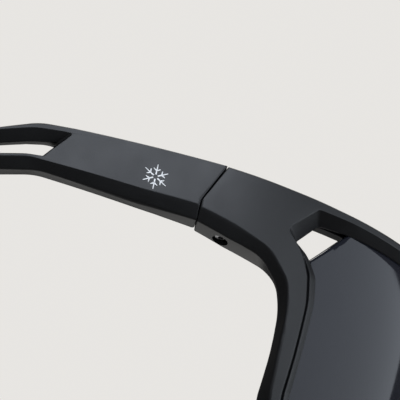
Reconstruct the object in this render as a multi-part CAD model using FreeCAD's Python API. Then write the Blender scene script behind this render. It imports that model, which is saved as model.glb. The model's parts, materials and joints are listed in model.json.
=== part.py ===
"""Wraparound mountain sunglasses: one shield lens in a moulded frame, with forked folding temples.

Millimetres.  +Z up, the front of the glasses faces -Y and the wearer's left is +X.
The glasses are drawn level, as they are worn, with the hinge axes at Y = 0 and Z = 0 at the
middle of the hinge tongues.  At the end they are tipped to rest on the lower rim and the
temple tips, and the origin goes to the middle of the footprint.
"""

import FreeCAD, Part
import math
import os

from FreeCAD import Vector

os.makedirs("parts", exist_ok=True)

# ---- driving dimensions -------------------------------------------------------------------

# Wrap of the front: a circle in plan, centred on CENTRE_Y, and a gentle arc from top to bottom.
FRONT_RADIUS = 71.0
CENTRE_Y = 14.4
RISE_RADIUS = 150.0

# Wrap of a temple: it leaves the front 8 degrees outwards and curves back in.
SEAM_ANGLE = math.radians(82.0)
TEMPLE_RADIUS = 220.0
TEMPLE_START = SEAM_ANGLE - math.pi / 2

# Depths below the outer surface, outwards positive.
END_PIECE_BACK = -6.3
RIM_BACK = -4.4
LENS_FACE = -2.0
LENS_THICKNESS = 1.8
GROOVE_GAP = 0.05
TEMPLE_BACK = -4.8
UPPER_RAIL_BACK = -3.1
STEM_FACE = -1.2
STEM_BACK = -3.6
BEVEL_DEPTH = 1.5

# Hinge: a tongue on the temple turns in a slot in the end piece about a vertical screw.
HINGE_X = 65.0
SEAM_REACH_TOP = 2.4
SEAM_REACH_LOW = 5.85
SEAM_Z_TOP = 7.1
SEAM_Z_LOW = -2.6
SEAM_GAP = 0.3
TONGUE_RADIUS = 2.2
TONGUE_HALF_HEIGHT = 2.3
TONGUE_SLACK = 0.1
SLOT_RADIUS = 2.5
NECK_INNER = -0.4
SCREW_RADIUS = 0.8
SCREW_HEAD_RADIUS = 1.35
SCREW_HEAD_HEIGHT = 1.0
COUNTERBORE_RADIUS = 1.65
HEAD_SEAT_Z = -5.1
LUG_HOLE_RADIUS = 0.85
BUSH_RADIUS = 1.3
BUSH_BORE_RADIUS = 0.85
INSERT_RADIUS = 1.3
INSERT_LOW_Z = 2.7
INSERT_TOP_Z = 5.9
SCREW_TOP_Z = 5.6
DRIVE_RECESS = 0.45

# Temple lengths, measured back from the seam.
GRIP_START = 78.0
GRIP_END = 116.0
STEM_END = 111.0

# Nose pads.
PAD_LENGTH = 15.0
PAD_WIDTH = 8.0
PAD_THICKNESS = 2.6
PAD_X = 10.4
PAD_Y = -41.0
PAD_Z = -23.5
PAD_SPLAY = 24.0
PAD_LEAN = -28.0
WIRE_RADIUS = 0.5

# White pad print on each temple.
MARK_AT = (11.3, 0.4)
MARK_ARM = 2.8
MARK_LINE = 0.7
MARK_THICKNESS = 0.1

# Rest: nose up by this much, on the lower rim and the temple tips.
REST_TILT = 5.6

# Raw blocks that the outlines are cut from, and the walls that cut them.
FRONT_LOW = -45.0
FRONT_HIGH = 16.0
FRONT_HALF_TURN = 88.0
LENS_HALF_TURN = 75.0
TEMPLE_BLOCK_LOW = -32.0
TEMPLE_BLOCK_HIGH = 12.0
WALL_IN = -12.0
WALL_OUT = 4.0

# A corner that turns by less than this has no arc, in radians.
STRAIGHT = 0.005

# Points on each round corner, and the longest straight piece of a wall.
CORNER_POINTS = 7
WALL_STEP = 6.0


# ---- drawing on the curved surfaces --------------------------------------------------------

def rise(z):
    """How far the toric front falls inwards at height z."""
    return RISE_RADIUS - math.sqrt(RISE_RADIUS ** 2 - z ** 2)


def front_point(s, z, n):
    """A point of the front: s along the wrap from the middle, height z, n out from the surface."""
    angle = s / FRONT_RADIUS
    reach = FRONT_RADIUS + n - rise(z)
    return Vector(reach * math.sin(angle), CENTRE_Y - reach * math.cos(angle), z)


def temple_point(t, z, n):
    """A point of the left temple: t back from the seam, height z, n out from the surface."""
    start = front_point(FRONT_RADIUS * SEAM_ANGLE, 0.0, 0.0)
    centre_x = start.x - TEMPLE_RADIUS * math.cos(TEMPLE_START)
    centre_y = start.y - TEMPLE_RADIUS * math.sin(TEMPLE_START)
    angle = TEMPLE_START + t / TEMPLE_RADIUS
    reach = TEMPLE_RADIUS + n
    return Vector(centre_x + reach * math.cos(angle), centre_y + reach * math.sin(angle), z)


def rounded(corners):
    """Runs of a closed outline from its corners (along, z, radius): lines and round arcs."""
    count = len(corners)
    trimmed = []
    for i, corner in enumerate(corners):
        here = Vector(corner[0], corner[1], 0)
        radius = corner[2] if len(corner) > 2 else 0.0
        if radius == 0.0:
            trimmed.append([here])
            continue
        before = Vector(*corners[i - 1][:2], 0)
        after = Vector(*corners[(i + 1) % count][:2], 0)
        arm_in = (before - here).normalize()
        arm_out = (after - here).normalize()
        half = arm_in.getAngle(arm_out) / 2
        if math.pi / 2 - half < STRAIGHT:
            trimmed.append([here])
            continue
        setback = radius / math.tan(half)
        centre = here + (arm_in + arm_out).normalize() * (radius / math.sin(half))
        first = here + arm_in * setback
        last = here + arm_out * setback
        middle = centre + (here - centre).normalize() * radius
        arc = Part.Arc(first, middle, last).toShape()
        trimmed.append(arc.discretize(CORNER_POINTS))
    runs = []
    for i in range(count):
        following = trimmed[(i + 1) % count]
        if len(trimmed[i]) > 1:
            runs.append(trimmed[i])
        if trimmed[i][-1].distanceToPoint(following[0]) > 1e-6:
            runs.append([trimmed[i][-1], following[0]])
    return runs


def edge_on(point, run, n):
    """One edge of the outline, laid on the surface at depth n."""
    if len(run) == 2:
        pieces = max(2, int(run[0].distanceToPoint(run[1]) / WALL_STEP) + 1)
        run = [run[0] + (run[1] - run[0]) * (i / pieces) for i in range(pieces + 1)]
    curve = Part.BSplineCurve()
    curve.interpolate([point(p.x, p.y, n) for p in run])
    return curve.toShape()


def wall(point, corners):
    """Walls square to the surface that follow an outline, from well inside to well outside."""
    faces = []
    for run in rounded(corners):
        low = edge_on(point, run, WALL_IN)
        high = edge_on(point, run, WALL_OUT)
        faces.append(Part.makeRuledSurface(low, high))
    return Part.Compound(faces)


def cut_piece(solid, walls, keep):
    """Split a solid by walls and keep the piece that holds the point."""
    pieces = solid.generalFuse([walls])[0].Solids
    for piece in pieces:
        if piece.isInside(keep, 1e-4, False):
            return piece
    raise ValueError("no piece holds the point %s" % keep)


def front_slab(n_back, n_face, z_low, z_high, half_turn):
    """A slab of the toric front between two depths."""
    def profile(n):
        points = [front_point(0, z, n) for z in (z_low, (z_low + z_high) / 2, z_high)]
        return Part.Arc(*points).toShape()

    face_line = profile(n_face)
    back_line = profile(n_back)
    low = Part.makeLine(front_point(0, z_low, n_back), front_point(0, z_low, n_face))
    high = Part.makeLine(front_point(0, z_high, n_face), front_point(0, z_high, n_back))
    section = Part.Face(Part.Wire(Part.__sortEdges__([low, face_line, high, back_line])))
    axis_at = Vector(0, CENTRE_Y, 0)
    section.rotate(axis_at, Vector(0, 0, 1), -half_turn)
    return section.revolve(axis_at, Vector(0, 0, 1), 2 * half_turn)


def temple_slab(n_back, n_face, t_from, t_to, z_low, z_high):
    """A slab of the curved temple between two depths."""
    def plan(n, first, last):
        points = [temple_point(t, z_low, n) for t in (first, (first + last) / 2, last)]
        return Part.Arc(*points).toShape()

    outer = plan(n_face, t_from, t_to)
    inner = plan(n_back, t_to, t_from)
    start = Part.makeLine(temple_point(t_from, z_low, n_back), temple_point(t_from, z_low, n_face))
    end = Part.makeLine(temple_point(t_to, z_low, n_face), temple_point(t_to, z_low, n_back))
    section = Part.Face(Part.Wire(Part.__sortEdges__([start, outer, end, inner])))
    return section.extrude(Vector(0, 0, z_high - z_low))


def bevel(solid, point, face_edge, low_edge, depth, keep):
    """Take off a broad bevel between a line on the outer face and one at the bevel's depth."""
    def line(share):
        points = []
        for (a, z_face), (b, z_low) in zip(face_edge, low_edge):
            points.append(point(a + (b - a) * share, z_face + (z_low - z_face) * share,
                                -depth * share))
        curve = Part.BSplineCurve()
        curve.interpolate(points)
        return curve.toShape()

    return cut_piece(solid, Part.makeRuledSurface(line(-0.6), line(1.5)), keep)


def mirrored(shape):
    return shape.mirror(Vector(0, 0, 0), Vector(1, 0, 0))


# ---- outlines, wearer's left half, (along the surface, height, corner radius) ---------------

BROW_TOP = [(112, 7.0), (88, 7.3, 90), (72, 8.2, 90), (54, 9.9, 60), (34, 12.4, 50), (14, 13.6, 60)]
END_PIECE_LOW = [(112, -3.6), (102.3, -5.3, 30), (90, -7.7, 14), (79.8, -15.5, 9)]
RIM_REAR = [(78.8, -25, 60), (76.8, -41.3, 13)]
RIM_LOW = [(46, -41.3, 60), (21, -38.2, 8), (9.5, -17.5, 7), (5.5, -14.5, 4)]

VENT = [(5.5, 10.5, 60), (34, 9.1, 50), (54, 6.95, 60), (74.6, 4.6, 1.0), (79.7, -1.5, 1.2)]
RIM_INNER = [(75.9, -4.6, 1.5), (73.3, -8.2, 5), (72.4, -14, 20), (71.9, -25, 60), (71.2, -38.2, 9)]
RIM_INNER_LOW = [(46, -38.2, 60), (24, -35.4, 6), (12, -13.5, 7), (6.5, -11.2, 4)]

LENS_TOP = [(6, 11.8, 60), (34, 10.4, 50), (54, 8.2, 60), (66.5, 6.4, 1.4), (75.6, -3.9, 1.0)]
LENS_SIDE = [(75.0, -13, 20), (74.0, -25, 60), (72.8, -39.4, 9)]
LENS_LOW = [(46, -39.4, 60), (22.8, -36.4, 6), (11.1, -14.6, 7), (6.0, -12.4, 4)]


def both_sides(half):
    """A closed outline from its left half, listed from the top middle round to the low middle."""
    other = [(-corner[0],) + tuple(corner[1:]) for corner in reversed(half)]
    return half + other


FRAME_OUTLINE = both_sides([BROW_TOP[-1]] + BROW_TOP[-2::-1] + END_PIECE_LOW + RIM_REAR + RIM_LOW)
OPENING = both_sides(VENT + RIM_INNER + RIM_INNER_LOW)
LENS_OUTLINE = both_sides(LENS_TOP + LENS_SIDE + LENS_LOW)


# ---- the seam between an end piece and its temple -------------------------------------------

def seam_reach(z):
    """Distance from the hinge axis back to the seam at height z."""
    slope = (SEAM_REACH_LOW - SEAM_REACH_TOP) / (SEAM_Z_TOP - SEAM_Z_LOW)
    if z < SEAM_Z_LOW:
        return SEAM_REACH_LOW + (SEAM_Z_LOW - z) * 0.2
    return SEAM_REACH_LOW - (z - SEAM_Z_LOW) * slope


def seam_front(gap):
    """Everything that lies ahead of the seam: a slanted plane outside, a round cone inside."""
    heights = (-20.0, SEAM_Z_LOW, 9.0)
    solids = []
    for low, high in zip(heights[:-1], heights[1:]):
        reach_low = seam_reach(low) - gap
        reach_high = seam_reach(high) - gap
        ahead = [Vector(0, -60, low), Vector(0, reach_low, low),
                 Vector(0, reach_high, high), Vector(0, -60, high)]
        block = Part.Face(Part.makePolygon(ahead + ahead[:1])).extrude(Vector(20, 0, 0))
        cone = Part.makeCone(reach_low, reach_high, high - low, Vector(0, 0, low))
        inner = Part.makeBox(20, 60, high - low, Vector(-20, -60, low))
        solids += [block, cone, inner]
    ahead = solids[0].multiFuse(solids[1:])
    ahead.translate(Vector(HINGE_X, 0, 0))
    return ahead


def hinge_cylinder(radius, z_low, z_high):
    return Part.makeCylinder(radius, z_high - z_low, Vector(HINGE_X, 0, z_low))


def hinge_slot():
    """Space in the end piece that the tongue needs, at rest, folded and on the way."""
    half = TONGUE_HALF_HEIGHT + TONGUE_SLACK
    round_end = hinge_cylinder(SLOT_RADIUS, -half, half)
    rear = Part.makeBox(20 + SLOT_RADIUS, 20, 2 * half, Vector(HINGE_X - 20, 0, -half))
    side = Part.makeBox(20, 20, 2 * half, Vector(HINGE_X - 20, NECK_INNER - SEAM_GAP, -half))
    return round_end.multiFuse([rear, side])


# ---- front frame -----------------------------------------------------------------------------

def grow(corners, by):
    """An outline pushed outwards by a small amount, corner by corner."""
    count = len(corners)
    area = sum(corners[i - 1][0] * corners[i][1] - corners[i][0] * corners[i - 1][1]
               for i in range(count))
    turn = 1.0 if area > 0 else -1.0
    grown = []
    for i, corner in enumerate(corners):
        before = Vector(*corners[i - 1][:2], 0)
        here = Vector(*corner[:2], 0)
        after = Vector(*corners[(i + 1) % count][:2], 0)
        along_in = (here - before).normalize()
        along_out = (after - here).normalize()
        outward_in = Vector(along_in.y, -along_in.x, 0) * turn
        outward_out = Vector(along_out.y, -along_out.x, 0) * turn
        mean = (outward_in + outward_out).normalize()
        shift = mean * (by / mean.dot(outward_in))
        grown.append((here.x + shift.x, here.y + shift.y) + tuple(corner[2:]))
    return grown


def front_seams():
    """The space ahead of both seams."""
    left = seam_front(SEAM_GAP / 2)
    middle = Part.makeBox(2 * (HINGE_X - 10), 120, 40, Vector(10 - HINGE_X, -90, -20))
    low = Part.makeBox(200, 120, 40, Vector(-100, -90, -60))
    return left.multiFuse([mirrored(left), middle, low])


def make_front_frame():
    """One nylon moulding: brow, two end pieces, the rim and the nose arch, with a lens groove."""
    on_brow = front_point(0, 12.0, -1.0)
    body = front_slab(END_PIECE_BACK, 0.0, FRONT_LOW, FRONT_HIGH, FRONT_HALF_TURN)
    body = cut_piece(body, wall(front_point, FRAME_OUTLINE), on_brow)
    body = cut_piece(body, wall(front_point, OPENING), on_brow)

    thin_rim = front_slab(END_PIECE_BACK - 2.0, RIM_BACK, -50.0, -9.0, 72.0)
    body = body.cut(thin_rim)

    groove = front_slab(LENS_FACE - LENS_THICKNESS - GROOVE_GAP, LENS_FACE + GROOVE_GAP,
                        FRONT_LOW, FRONT_HIGH, LENS_HALF_TURN)
    grown = grow(LENS_OUTLINE, 2 * GROOVE_GAP)
    groove = cut_piece(groove, wall(front_point, grown),
                       front_point(40, -10, LENS_FACE - LENS_THICKNESS / 2))
    body = body.cut(groove)

    for side in (1, -1):
        bevel_face = [(108, -2.6), (101.5, -3.3), (96, -4.3), (90, -5.5), (85.2, -8.0),
                      (81.0, -12.2), (79.6, -17)]
        bevel_low = [(108, -4.6), (102.3, -5.6), (95, -7.0), (89.0, -8.5), (84.5, -10.8),
                     (80.8, -14.6), (79.4, -18)]
        face = [(side * a, z) for a, z in bevel_face]
        low = [(side * a, z) for a, z in bevel_low]
        body = bevel(body, front_point, face, low, BEVEL_DEPTH, on_brow)

    rear = front_seams()
    body = body.common(rear)
    hinge = hinge_slot().multiFuse([hinge_cylinder(COUNTERBORE_RADIUS, -12.0, HEAD_SEAT_Z),
                                    hinge_cylinder(LUG_HOLE_RADIUS, HEAD_SEAT_Z - 0.1, 0.0),
                                    hinge_cylinder(INSERT_RADIUS, 0.0, INSERT_TOP_Z)])
    body = body.cut([hinge, mirrored(hinge)])
    return body.removeSplitter()


def make_shield_lens():
    """One moulded shield that drops into the groove, with its upper outer corners cut off."""
    body = front_slab(LENS_FACE - LENS_THICKNESS, LENS_FACE, FRONT_LOW, FRONT_HIGH,
                      LENS_HALF_TURN)
    middle = front_point(40, -10, LENS_FACE - LENS_THICKNESS / 2)
    return cut_piece(body, wall(front_point, LENS_OUTLINE), middle)


# ---- temples -----------------------------------------------------------------------------------

TEMPLE_TOP = [(-16, 7.6), (36.5, 5.5, 14), (GRIP_START, -7.4)]
TEMPLE_LOW = [(GRIP_START, -14.8), (35.5, -3.7, 14), (11, -5.35, 60), (-16, -4.8)]
STEM = [(GRIP_START - 2, -8.8), (100, -16.0, 40), (STEM_END, -21.9, 1.4),
        (STEM_END - 1, -25.4, 1.4), (98, -19.4, 40), (GRIP_START - 2, -12.4)]
FORK_SLOT = [(31.0, 2.6, 0.7), (37.5, 2.35, 14), (74.0, -8.9, 0.9), (74.6, -11.0, 0.9),
             (37.0, -1.35, 14), (34.0, -0.8, 0.7)]
GRIP = [(GRIP_START, -7.4), (100, -14.6, 40), (GRIP_END, -22.6, 3.0),
        (GRIP_END - 1.5, -29.0, 3.0), (98, -21.0, 40), (GRIP_START, -14.8)]


def make_temple():
    """Nylon temple: a flat panel that forks into two rails, joined again at a stem."""
    on_panel = temple_point(20, 1.5, -1.0)
    body = temple_slab(TEMPLE_BACK, 0.0, -14.0, STEM_END + 1, TEMPLE_BLOCK_LOW,
                       TEMPLE_BLOCK_HIGH)
    arm = TEMPLE_TOP + TEMPLE_LOW
    body = cut_piece(body, wall(temple_point, arm), on_panel)
    body = cut_piece(body, wall(temple_point, FORK_SLOT), on_panel)

    face = [(-14, -2.2), (1.4, -2.6), (11.4, -3.0), (24, -2.4), (34.5, -1.6), (42.2, -3.35),
            (60, -8.0), (84, -14.2)]
    low = [(-14, -4.8), (1.9, -5.2), (10.7, -5.4), (24, -4.5), (35.0, -3.85), (41.6, -5.3),
           (59.4, -10.0), (83.4, -16.3)]
    body = bevel(body, temple_point, face, low, BEVEL_DEPTH, on_panel)

    behind_rail = [(33, 9), (82, -2), (82, -9.5), (76, -9.6), (37.5, 1.0, 10), (33, 1.2)]
    back_cut = temple_slab(TEMPLE_BACK - 2, UPPER_RAIL_BACK, 31.0, 77.0, -12.0, 9.0)
    back_cut = cut_piece(back_cut, wall(temple_point, behind_rail),
                         temple_point(45, 1.0, -4.5))
    body = body.cut(back_cut)
    body = body.cut(seam_front(-SEAM_GAP / 2))

    neck = Part.makeBox(TONGUE_RADIUS - NECK_INNER, 8.0, 2 * TONGUE_HALF_HEIGHT,
                        Vector(HINGE_X + NECK_INNER, 0, -TONGUE_HALF_HEIGHT))
    tongue = hinge_cylinder(TONGUE_RADIUS, -TONGUE_HALF_HEIGHT, TONGUE_HALF_HEIGHT)
    stem = make_stem()
    body = body.multiFuse([neck, tongue, stem])
    body = body.cut(hinge_cylinder(BUSH_RADIUS, -4.0, 4.0))
    return body.removeSplitter()


def make_stem():
    """The narrow tail of the temple that the rubber is moulded round."""
    body = temple_slab(STEM_BACK, STEM_FACE, GRIP_START - 4, STEM_END + 2, TEMPLE_BLOCK_LOW, 0.0)
    return cut_piece(body, wall(temple_point, STEM), temple_point(95, -16.3, -2.4))


def make_grip():
    """Soft rubber tip, moulded round the stem."""
    body = temple_slab(TEMPLE_BACK, 0.0, GRIP_START, GRIP_END + 2, TEMPLE_BLOCK_LOW, 0.0)
    outline = [(GRIP_START - 4, -6.2)] + GRIP[1:-1] + [(GRIP_START - 4, -13.7)]
    body = cut_piece(body, wall(temple_point, outline), temple_point(113.5, -25.5, -2.4))
    return body.cut(make_stem())


def make_mark():
    """A small snow crystal of three crossed lines, printed on the panel."""
    along, height = MARK_AT
    pieces = []
    for turn in (30.0, 90.0, 150.0):
        arm = Vector(math.cos(math.radians(turn)), math.sin(math.radians(turn)), 0)
        across = Vector(-arm.y, arm.x, 0) * (MARK_LINE / 2)
        tips = [arm * MARK_ARM + across, arm * MARK_ARM - across,
                arm * -MARK_ARM - across, arm * -MARK_ARM + across]
        corners = [(along + tip.x, height + tip.y) for tip in tips]
        slab = temple_slab(0.0, MARK_THICKNESS, along - 6, along + 6, height - 6, height + 6)
        middle = temple_point(along, height, MARK_THICKNESS / 2)
        pieces.append(cut_piece(slab, wall(temple_point, corners), middle))
    return pieces[0].multiFuse(pieces[1:]).removeSplitter()


# ---- hinge hardware ------------------------------------------------------------------------------

def make_screw():
    """Steel hinge screw, put in from below, with a hexagon recess."""
    head = hinge_cylinder(SCREW_HEAD_RADIUS, HEAD_SEAT_Z - SCREW_HEAD_HEIGHT, HEAD_SEAT_Z)
    shank = hinge_cylinder(SCREW_RADIUS, HEAD_SEAT_Z, SCREW_TOP_Z)
    corners = [Vector(HINGE_X + 0.65 * math.cos(math.radians(60 * i)),
                      0.65 * math.sin(math.radians(60 * i)),
                      HEAD_SEAT_Z - SCREW_HEAD_HEIGHT) for i in range(7)]
    recess = Part.Face(Part.makePolygon(corners)).extrude(Vector(0, 0, DRIVE_RECESS))
    return head.fuse(shank).cut(recess).removeSplitter()


def make_bush():
    """Brass bush pressed into the tongue."""
    half = TONGUE_HALF_HEIGHT
    return hinge_cylinder(BUSH_RADIUS, -half, half).cut(hinge_cylinder(BUSH_BORE_RADIUS, -half, half))


def make_insert():
    """Threaded brass insert in the upper lug."""
    ring = hinge_cylinder(INSERT_RADIUS, INSERT_LOW_Z, INSERT_TOP_Z)
    return ring.cut(hinge_cylinder(SCREW_RADIUS + 0.01, INSERT_LOW_Z, SCREW_TOP_Z))


# ---- nose piece ----------------------------------------------------------------------------------

def make_nose_bracket():
    """Nylon arch clipped to the back of the frame over the nose."""
    half = [(5.5, -11.7, 4), (11.6, -14.0, 6), (18.6, -27.0, 0.8), (16.0, -28.4, 0.8),
            (9.6, -17.3, 6), (5.5, -14.2, 4)]
    outline = both_sides(half)
    slab = front_slab(RIM_BACK - 2.6, RIM_BACK, -34.0, -6.0, 30.0)
    middle = front_point(0, -12.9, RIM_BACK - 1.0)
    return cut_piece(slab, wall(front_point, outline), middle)


def place_pad(shape):
    """Turn a pad from lying flat to its place on the left of the nose."""
    shape.rotate(Vector(0, 0, 0), Vector(0, 1, 0), 90 - PAD_SPLAY)
    shape.rotate(Vector(0, 0, 0), Vector(0, 0, 1), PAD_LEAN)
    shape.translate(Vector(PAD_X, PAD_Y, PAD_Z))
    return shape


def make_pad():
    """Soft rounded nose pad."""
    half_length = PAD_LENGTH / 2 - PAD_WIDTH / 2
    slab = Part.makeBox(2 * half_length, PAD_WIDTH, PAD_THICKNESS,
                        Vector(-half_length, -PAD_WIDTH / 2, -PAD_THICKNESS / 2))
    ends = [Part.makeCylinder(PAD_WIDTH / 2, PAD_THICKNESS, Vector(x, 0, -PAD_THICKNESS / 2))
            for x in (-half_length, half_length)]
    pad = slab.multiFuse(ends).removeSplitter()
    rims = [edge for edge in pad.Edges
            if abs(abs(edge.BoundBox.ZMin) - PAD_THICKNESS / 2) < 1e-6
            and edge.BoundBox.ZLength < 1e-6]
    pad = pad.makeFillet(PAD_THICKNESS / 2 - 0.3, rims)
    return place_pad(pad)


def pad_point(x, y, z):
    """A point given on the flat pad, moved with the pad to its place."""
    vertex = place_pad(Part.Vertex(x, y, z))
    return vertex.Point


def make_pad_wire():
    """Springy steel wire from the bracket to the pad."""
    into_pad = pad_point(0, 0, 0.3)
    leaves_pad = pad_point(0, 0, 3.0)
    root = front_point(13.3, -20.6, RIM_BACK - 1.2)
    bend = front_point(13.3, -20.6, RIM_BACK - 4.6)
    points = [into_pad, leaves_pad, bend, root]
    return round_wire(points, WIRE_RADIUS)


def round_wire(points, radius):
    """A round wire along straight runs with small arcs between them."""
    edges = []
    start = points[0]
    for before, corner, after in zip(points[:-2], points[1:-1], points[2:]):
        arm_in = (before - corner)
        arm_out = (after - corner)
        setback = 0.45 * min(arm_in.Length, arm_out.Length)
        arm_in.normalize()
        arm_out.normalize()
        first = corner + arm_in * setback
        last = corner + arm_out * setback
        half = arm_in.getAngle(arm_out) / 2
        bend = setback * math.tan(half)
        centre = corner + (arm_in + arm_out).normalize() * (bend / math.sin(half))
        middle = centre + (corner - centre).normalize() * bend
        edges.append(Part.makeLine(start, first))
        edges.append(Part.Arc(first, middle, last).toShape())
        start = last
    edges.append(Part.makeLine(start, points[-1]))
    path = Part.Wire(edges)
    tangent = (points[1] - points[0]).normalize()
    section = Part.Wire(Part.makeCircle(radius, points[0], tangent))
    return path.makePipeShell([section], True, True)


# ---- assembly ------------------------------------------------------------------------------------

def build():
    nodes = {"front_frame": make_front_frame(), "shield_lens": make_shield_lens()}
    pad = make_pad()
    wire = make_pad_wire()
    pad = pad.cut(wire)
    bracket = make_nose_bracket()
    bracket = bracket.cut(wire).cut(mirrored(wire))
    nodes["nose_bracket"] = bracket
    one_side = {"nose_pad": pad, "nose_wire": wire,
                "temple": make_temple(), "temple_grip": make_grip(), "temple_mark": make_mark(),
                "hinge_screw": make_screw(), "hinge_bush": make_bush(),
                "hinge_insert": make_insert()}
    for name, shape in one_side.items():
        nodes[name + "_left"] = shape
        nodes[name + "_right"] = mirrored(shape)
    return nodes


def rest_on_floor(nodes):
    """Tip every node to the resting pose and bring the origin under the middle of the whole."""
    for shape in nodes.values():
        shape.rotate(Vector(0, 0, 0), Vector(1, 0, 0), -REST_TILT)
    box = Part.Compound(list(nodes.values())).optimalBoundingBox(False)
    shift = Vector(-box.Center.x, -box.Center.y, -box.ZMin)
    for shape in nodes.values():
        shape.translate(shift)
    return shift, box


NODES = build()
SHIFT, BOX = rest_on_floor(NODES)
for name, shape in NODES.items():
    shape.exportStep("parts/%s.step" % name)
    print("%-20s valid %s  solids %d  volume %.1f" %
          (name, shape.isValid(), len(shape.Solids), shape.Volume))
print("rest shift %.4f %.4f %.4f" % (SHIFT.x, SHIFT.y, SHIFT.z))
print("size %.1f x %.1f x %.1f" % (BOX.XLength, BOX.YLength, BOX.ZLength))
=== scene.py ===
import json
import math

import bmesh
import bpy
from mathutils import Euler, Matrix, Vector
from mathutils.geometry import interpolate_bezier


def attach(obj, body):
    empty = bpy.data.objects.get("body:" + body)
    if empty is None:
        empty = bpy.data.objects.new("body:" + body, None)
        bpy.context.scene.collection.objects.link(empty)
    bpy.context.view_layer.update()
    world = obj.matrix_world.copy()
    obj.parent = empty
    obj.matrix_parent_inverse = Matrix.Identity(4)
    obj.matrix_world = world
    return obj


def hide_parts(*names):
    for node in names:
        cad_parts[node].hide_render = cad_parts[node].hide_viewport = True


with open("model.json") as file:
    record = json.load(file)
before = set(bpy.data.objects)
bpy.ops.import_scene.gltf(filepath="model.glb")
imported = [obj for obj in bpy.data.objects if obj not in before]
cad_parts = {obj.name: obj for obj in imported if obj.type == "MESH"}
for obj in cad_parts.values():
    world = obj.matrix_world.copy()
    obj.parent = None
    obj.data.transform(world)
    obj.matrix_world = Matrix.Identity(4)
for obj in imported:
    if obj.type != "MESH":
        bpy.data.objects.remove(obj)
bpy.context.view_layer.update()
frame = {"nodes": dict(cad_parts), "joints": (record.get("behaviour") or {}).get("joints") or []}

# ---- Camera ------------------------------------------------------------------------------------
# The glasses are drawn level, as they are worn, in millimetres, with the hinges at Y = 0 and
# Z = 0. The left hinge's place and axis say how they rest, tipped on to the rim and the grips.
# The camera looks at the right hinge from outside and from below.

hinge = next(joint for joint in frame["joints"] if joint["name"] == "left_temple_fold")
hinge_at = Vector(hinge["pos_m"])
hinge_up = Vector(hinge["axis"])
rest_tilt = math.atan2(hinge_up.y, hinge_up.z)
worn_to_rest = (Matrix.Translation((0, hinge_at.y, hinge_at.z))
                @ Matrix.Rotation(-rest_tilt, 4, "X") @ Matrix.Scale(0.001, 4))

aim = Vector((-70.0, 5.95, -1.45))
looking_up = math.radians(25.7)
from_ahead = math.radians(3.25)
roll = math.radians(12.5)
aim_distance = 1500
turned = (Euler((math.pi / 2 + looking_up, 0, -math.pi / 2 - from_ahead)).to_matrix()
          @ Matrix.Rotation(roll, 3, "Z"))
stand = aim + turned @ Vector((0, 0, aim_distance))

camera = bpy.data.objects.new("camera", bpy.data.cameras.new("camera"))
camera.data.sensor_width = 36
camera.data.lens = 676
camera.data.clip_start = 0.01
camera.data.clip_end = 20
rest_turn = Matrix.Rotation(-rest_tilt, 3, "X")
camera.matrix_world = Matrix.Translation(worn_to_rest @ stand) @ (rest_turn @ turned).to_4x4()
bpy.context.scene.collection.objects.link(camera)
bpy.context.scene.camera = camera
bpy.context.scene.view_settings.view_transform = "Standard"

# ---- Floor and light ---------------------------------------------------------------------------
# A plain pale floor, which is clear from below because the camera looks up through it. Large
# soft lights stand outside and above, in front, overhead, and low on the far side.

floor_mesh = bpy.data.meshes.new("floor")
floor_shape = bmesh.new()
bmesh.ops.create_grid(floor_shape, x_segments=4, y_segments=4, size=3)
floor_shape.to_mesh(floor_mesh)
floor_shape.free()
floor = bpy.data.objects.new("floor", floor_mesh)
bpy.context.scene.collection.objects.link(floor)
floor.visible_glossy = False
floor.visible_shadow = False
paper = bpy.data.materials.new("pale_floor")
paper.use_nodes = True
paper_nodes = paper.node_tree.nodes
paper_links = paper.node_tree.links
paper_shader = paper_nodes["Principled BSDF"]
paper_shader.inputs["Base Color"].default_value = (0.80, 0.79, 0.77, 1)
paper_shader.inputs["Roughness"].default_value = 0.8
paper_side = paper_nodes.new("ShaderNodeNewGeometry")
paper_clear = paper_nodes.new("ShaderNodeBsdfTransparent")
paper_mix = paper_nodes.new("ShaderNodeMixShader")
paper_links.new(paper_side.outputs["Backfacing"], paper_mix.inputs["Fac"])
paper_links.new(paper_shader.outputs["BSDF"], paper_mix.inputs[1])
paper_links.new(paper_clear.outputs["BSDF"], paper_mix.inputs[2])
paper_links.new(paper_mix.outputs["Shader"], paper_nodes["Material Output"].inputs["Surface"])
floor_mesh.materials.append(paper)

world = bpy.data.worlds.new("studio")
bpy.context.scene.world = world
world.use_nodes = True
world_nodes = world.node_tree.nodes
world_links = world.node_tree.links
room = world_nodes["Background"]
room.inputs["Color"].default_value = (1.0, 0.99, 0.97, 1)
room.inputs["Strength"].default_value = 0.07
backdrop = world_nodes.new("ShaderNodeBackground")
backdrop.inputs["Color"].default_value = (0.98, 0.96, 0.93, 1)
backdrop.inputs["Strength"].default_value = 0.82
world_ray = world_nodes.new("ShaderNodeLightPath")
world_mix = world_nodes.new("ShaderNodeMixShader")
world_links.new(world_ray.outputs["Is Camera Ray"], world_mix.inputs["Fac"])
world_links.new(room.outputs["Background"], world_mix.inputs[1])
world_links.new(backdrop.outputs["Background"], world_mix.inputs[2])
world_links.new(world_mix.outputs["Shader"], world_nodes["World Output"].inputs["Surface"])


def softbox(name, toward, width, height, brightness, tint):
    """A large soft light, one metre from the right hinge, turned to face it."""
    lamp = bpy.data.lights.new(name, "AREA")
    lamp.shape = "RECTANGLE"
    lamp.size = width
    lamp.size_y = height
    lamp.color = tint
    lamp.energy = brightness * math.pi * width * height
    box = bpy.data.objects.new(name, lamp)
    direction = Vector(toward).normalized()
    box.location = worn_to_rest @ aim + direction
    box.rotation_euler = direction.to_track_quat("Z", "Y").to_euler()
    box.visible_camera = False
    bpy.context.scene.collection.objects.link(box)


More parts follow.
